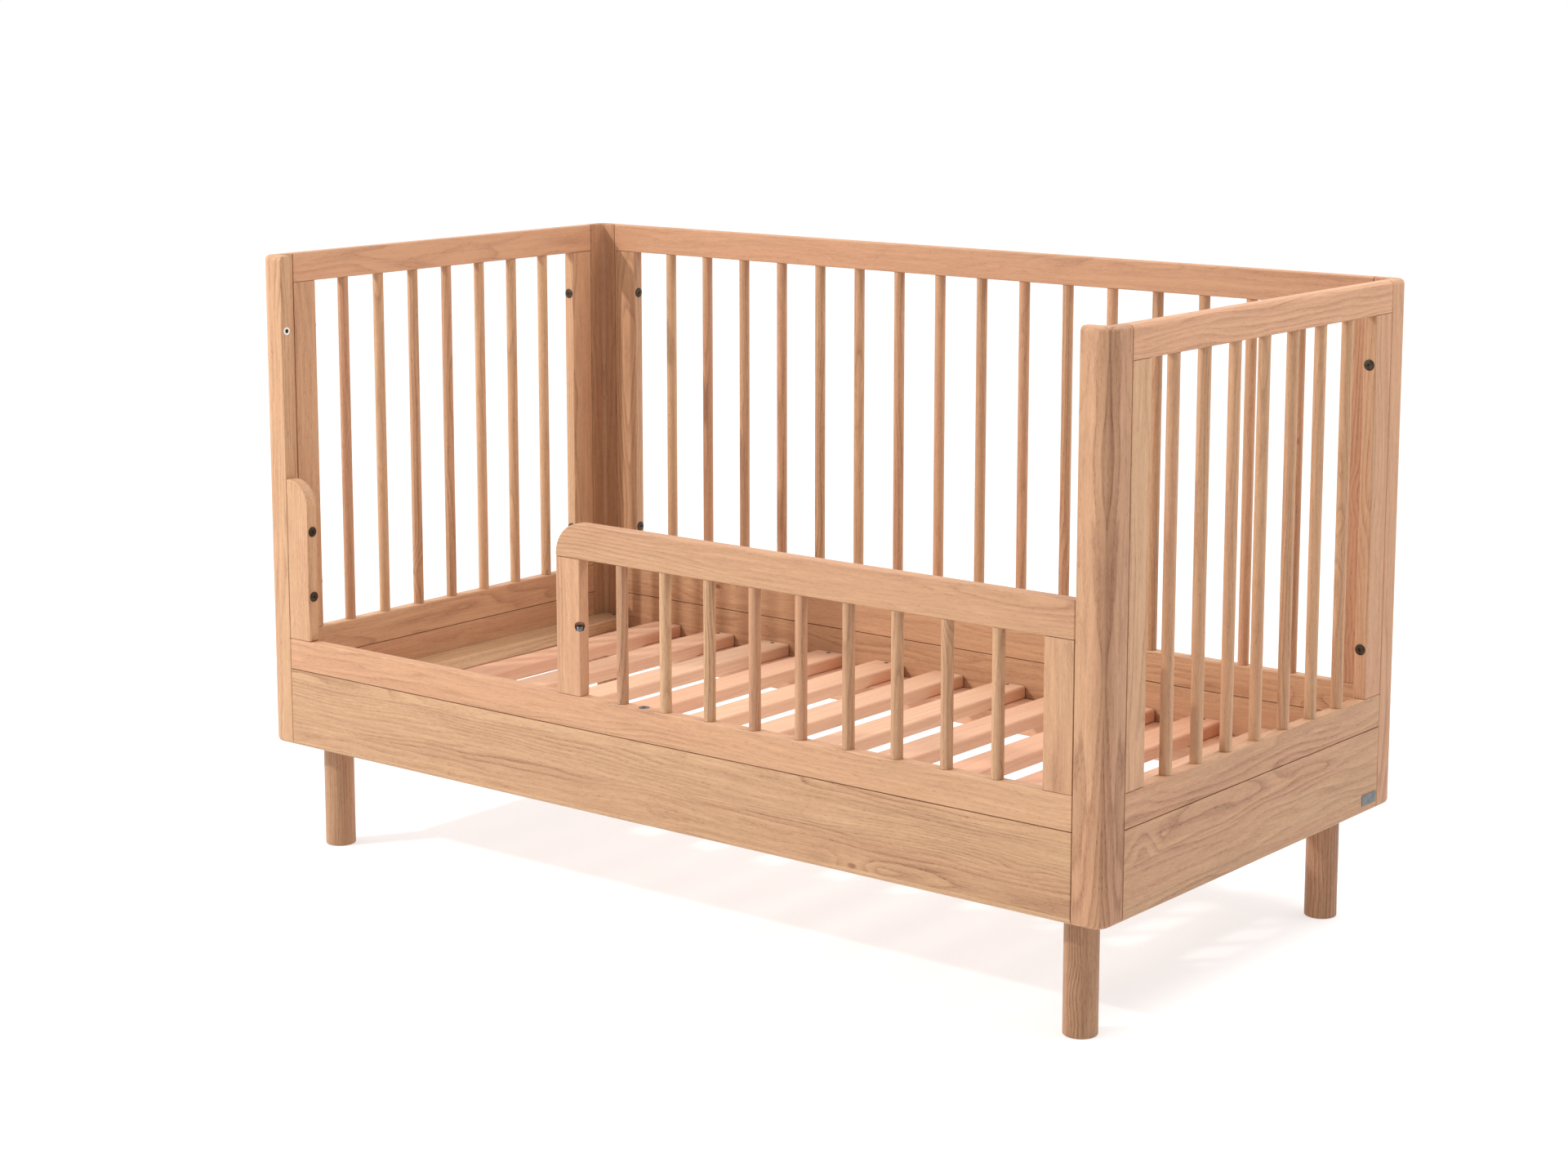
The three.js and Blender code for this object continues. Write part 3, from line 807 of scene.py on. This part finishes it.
stub = shaped_rail(
    "front_short_upright",
    [(0, 0, FREE_EDGE), (1, 0, FREE_EDGE), (1, 1, STUB_CORNER), (0, 1, FREE_EDGE)],
)
add_piece("front_short_upright_oak", mark_grain(stub, "z"), OAK, ["front_short_upright"])
guard_top = shaped_rail(
    "guard_top_rail",
    [(0, 0, FREE_EDGE), (1, 0, FREE_EDGE), (1, 1, FREE_EDGE), (0, 1, GUARD_CORNER)],
)
mark_grain(guard_top, "x", tone=FRONT_TONE, warmth=0.6)
add_piece("guard_top_rail_oak", guard_top, OAK, ["guard_top_rail"])
stile("guard_stile_right", "x")
bars("guard_bars", "x", **GUARD_BARS)

guard_low, guard_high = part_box("guard_end_post")
bolt_low, bolt_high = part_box("guard_fixing_bolt")
bolt_centre = (bolt_low + bolt_high) / 2
arris = Vector((guard_high.x, guard_low.y, POCKET["height"]))
pocket = rod(POCKET["radius"], -POCKET["depth"], POCKET["outside"], sides=48)
moved(pocket, Matrix.Rotation(math.pi / 2, 4, "X"))
moved(pocket, Matrix.Translation(arris) @ Matrix.Rotation(math.pi / 4, 4, "Z"))
seat = rod(SEAT["radius"], 0, SEAT["depth"])
moved(seat, Matrix.Translation((bolt_centre.x, bolt_centre.y, POCKET["height"] - SEAT["depth"])))
bar("guard_end_post", "z", (FREE_EDGE,) * 4, drills=[pocket, seat])

for end in ("left", "right"):
    slab(f"base_end_slat_{end}", "y", (END_SLAT_CORNER,) * 4, FREE_EDGE, tone=0.12, warmth=0.1)
for side in ("front", "back"):
    bar(f"base_bearer_{side}", "x", (2 * MM,) * 4, material=BEECH, suffix="beech", end=1 * MM)
slats = sorted(node for node in BODY_OF if node.startswith("slat_"))
for node in slats:
    edges = (2 * MM, 2 * MM, SLAT_EDGE, SLAT_EDGE)
    bar(node, "y", edges, material=BEECH, suffix="beech", end=1.4 * MM)


# ---- metalwork -----------------------------------------------------------------------------
# radius, how far the head stands proud, and the socket's width across its corners
BOLT = {"radius": 7.5 * MM, "rise": 1.3 * MM, "socket": 4.4 * MM}
GUARD_BOLT = {"radius": 5.2 * MM, "rise": 5 * MM, "socket": 5 * MM}
LEDGE_INSERT = {"radius": 7.5 * MM, "rise": 0.6 * MM, "socket": 7 * MM}
SLAT_SCREW = {"radius": 3.6 * MM, "rise": 0.2 * MM, "socket": 2.6 * MM}
POST_RING = {"outer": 5.8 * MM, "inner": 3.1 * MM, "rise": 0.5 * MM}
# a dark plug in the ring's hole: painted shade inside the hole
POST_HOLE_SHADE = {"radius": 3.2 * MM, "low": -1 * MM, "high": 0.15 * MM}


def capped_head(radius, rise, socket, sink=2 * MM):
    """A low domed bolt head about Z, seated at the origin. Its hexagon socket is three quarters as
    deep as it stands proud."""
    profile = [(0, -sink), (radius, -sink), (radius, rise * 0.45)]
    profile += [(radius - 0.35 * MM, rise * 0.8), (radius - 0.9 * MM, rise), (0, rise)]
    drill = rod(socket / 2, 0.25 * rise, 2 * rise, sides=6)
    return drilled(lathe(profile, sides=40), [drill])


def socket_shade_disc(head):
    """A dark disc at the bottom of the socket in a head of these sizes, painted shade inside the
    socket.
    """
    return rod(head["socket"] / 2, 0.2 * head["rise"], 0.3 * head["rise"], sides=6)


def facing(direction, place):
    """Takes the origin to a place, and Z to a direction."""
    turn = Vector(direction).to_track_quat("Z", "Y").to_matrix().to_4x4()
    return Matrix.Translation(place) @ turn


caps = []
socket_shades = []
for node in sorted(n for n in BODY_OF if "_stile_" in n and not n.startswith("guard")):
    low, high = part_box(node)
    index = 0 if node.startswith("back") else 1
    inward = -1 if low[index] > 0 else 1
    for height in STILE_BOLT_HEIGHTS:
        place = (low + high) / 2
        place[index] = high[index] if inward > 0 else low[index]
        place.z = height
        direction = [0, 0, 0]
        direction[index] = inward
        spot = facing(direction, place)
        caps.append(moved(capped_head(**BOLT), spot))
        socket_shades.append(moved(socket_shade_disc(BOLT), spot))
add_piece("stile_bolt_caps", gather(caps), BRONZE, [], body="frame")

stub_low, stub_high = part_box("front_short_upright")
mid_y = (stub_low.y + stub_high.y) / 2
for name, height in STUB_BOLT_HEIGHTS.items():
    node = f"front_upright_bolt_{name}"
    spot = facing((1, 0, 0), (stub_high.x, mid_y, height))
    head = moved(capped_head(**BOLT), spot)
    socket_shades.append(moved(socket_shade_disc(BOLT), spot))
    add_piece(f"{node}_head", head, BRONZE, [node])

head = capped_head(**GUARD_BOLT, sink=0)
head_bottom = bolt_high.z - GUARD_BOLT["rise"]
moved(head, Matrix.Translation((bolt_centre.x, bolt_centre.y, head_bottom)))
add_piece("guard_fixing_bolt_head", head, ZINC, ["guard_fixing_bolt"])


def insert(outer, inner, rise, depth=2 * MM):
    """A flanged sleeve about Z with its flange at the origin."""
    profile = [(inner, -depth), (outer - 0.4 * MM, -depth), (outer, rise * 0.4)]
    profile += [(outer - 0.5 * MM, rise), (inner + 0.3 * MM, rise)]
    profile += [(inner, rise * 0.5), (inner, -depth)]
    sleeve = lathe(profile, sides=40)
    bmesh.ops.remove_doubles(sleeve, verts=sleeve.verts, dist=SAME_PLACE)
    return sleeve


post_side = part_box("post_front_left")[1].x
insert_place = (post_side, mid_y, POST_INSERT_HEIGHT)
ring = moved(insert(**POST_RING), facing((1, 0, 0), insert_place))
add_piece("post_insert_ring", ring, RING_WHITE, [], body="frame")
# painted shade in the insert's hole
hole_shade = moved(rod(**POST_HOLE_SHADE), facing((1, 0, 0), insert_place))
add_piece("post_insert_core", hole_shade, SOCKET_SHADE, [], body="frame")

spot = Matrix.Translation((0, mid_y, LEDGE_TOP))
sleeve = moved(capped_head(**LEDGE_INSERT), spot)
socket_shades.append(moved(socket_shade_disc(LEDGE_INSERT), spot))
add_piece("ledge_insert", sleeve, ZINC, [], body="frame")
# the dark discs of painted shade at the bottoms of the sockets
add_piece("bolt_socket_shades", gather(socket_shades), SOCKET_SHADE, [], body="frame")

SCREW_INSET = 8 * MM
screws = []
for node in slats + ["base_end_slat_left", "base_end_slat_right"]:
    low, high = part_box(node)
    for y in (low.y + SCREW_INSET, high.y - SCREW_INSET):
        screw = capped_head(**SLAT_SCREW)
        screws.append(moved(screw, Matrix.Translation(((low.x + high.x) / 2, y, high.z))))
add_piece("slat_screws", gather(screws), BRONZE, [], body="base")

plate_low, plate_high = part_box("maker_plate")
plate_corners = [
    (plate_low.y, plate_low.z),
    (plate_high.y, plate_low.z),
    (plate_high.y, plate_high.z),
    (plate_low.y, plate_high.z),
]
plate_outline = rounded([(*place, PLATE_CORNER) for place in plate_corners])
plate = prism("x", plate_outline, plate_low.x, plate_high.x)


def on_the_plate_face(edge):
    return all(abs(v.co.x - plate_high.x) < SAME_PLACE for v in edge.verts)


round_off(plate, on_the_plate_face, PLATE_EDGE, segments=2)
add_piece("maker_plate_metal", plate, PLATE, ["maker_plate"])

for corner in CORNERS:
    stud = frame["nodes"][f"leg_stud_{corner}"]
    stud.data.materials.clear()
    stud.data.materials.append(ZINC)


# ---- floor, light and camera ---------------------------------------------------------------
def add_floor():
    """A pale floor that shines a little, so that it shows white with a soft shadow."""
    g = Graph(bpy.data.materials.new("pale_floor"))
    place = g.node("ShaderNodeTexCoord").outputs["Object"]
    cloud = g.noise(g.vector("MULTIPLY", place, (3, 3, 3)), detail=2.0)
    material = g.surface(
        Base_Color=g.mix(cloud, (0.48, 0.48, 0.48), (0.5, 0.5, 0.5)),
        Roughness=0.9,
        Specular_IOR_Level=0.0,
        Emission_Color=(1, 1, 1, 1),
        Emission_Strength=0.56,
    )
    bm = bmesh.new()
    corners = ((-1, -1), (1, -1), (1, 1), (-1, 1))
    bm.faces.new([bm.verts.new((FLOOR_REACH * x, FLOOR_REACH * y, 0)) for x, y in corners])
    mesh = bpy.data.meshes.new("floor")
    bm.to_mesh(mesh)
    mesh.materials.append(material)
    floor = bpy.data.objects.new("floor", mesh)
    bpy.context.scene.collection.objects.link(floor)


def add_light():
    """A white sky, dimmer to one side of the bed, and three lamps."""
    world = bpy.data.worlds.new("studio")
    g = Graph(world)
    towards = g.node("ShaderNodeTexCoord").outputs["Generated"]
    height = g.split(towards)["Z"]
    facing_dark = g.vector("DOT_PRODUCT", towards, SKY["dark_towards"])
    level = g.band(height, 0.1, 0.9, SKY["level"], SKY["level"] + SKY["overhead"])
    level = g.math("SUBTRACT", level, g.band(facing_dark, 0.2, 0.9, 0.0, SKY["dark_side"]))
    glow = g.node("ShaderNodeBackground", {"Color": (1, 1, 1, 1), "Strength": level})
    g.node("ShaderNodeOutputWorld", {"Surface": glow.outputs[0]})
    bpy.context.scene.world = world
    for name, lamp in LAMPS.items():
        light = bpy.data.lights.new(name, "AREA")
        light.shape = "DISK"
        light.energy = lamp["watts"]
        light.size = lamp["size"]
        light.color = LAMP_COLOUR
        holder = bpy.data.objects.new(name, light)
        holder.location = lamp["at"]
        aim = Vector(LAMPS_AIM) - holder.location
        holder.rotation_euler = aim.to_track_quat("-Z", "Y").to_euler()
        bpy.context.scene.collection.objects.link(holder)


def add_camera():
    """Looks down a little from the front right."""
    lens = bpy.data.cameras.new("camera")
    lens.lens = CAMERA_LENS
    lens.sensor_width = 36
    lens.shift_y = CAMERA_SHIFT
    camera = bpy.data.objects.new("camera", lens)
    camera.location = CAMERA_AT
    camera.rotation_euler = (math.pi / 2 - CAMERA_ELEVATION, 0, CAMERA_AZIMUTH)
    bpy.context.scene.collection.objects.link(camera)
    bpy.context.scene.camera = camera


add_floor()
add_light()
add_camera()
bpy.context.scene.view_settings.view_transform = "Standard"
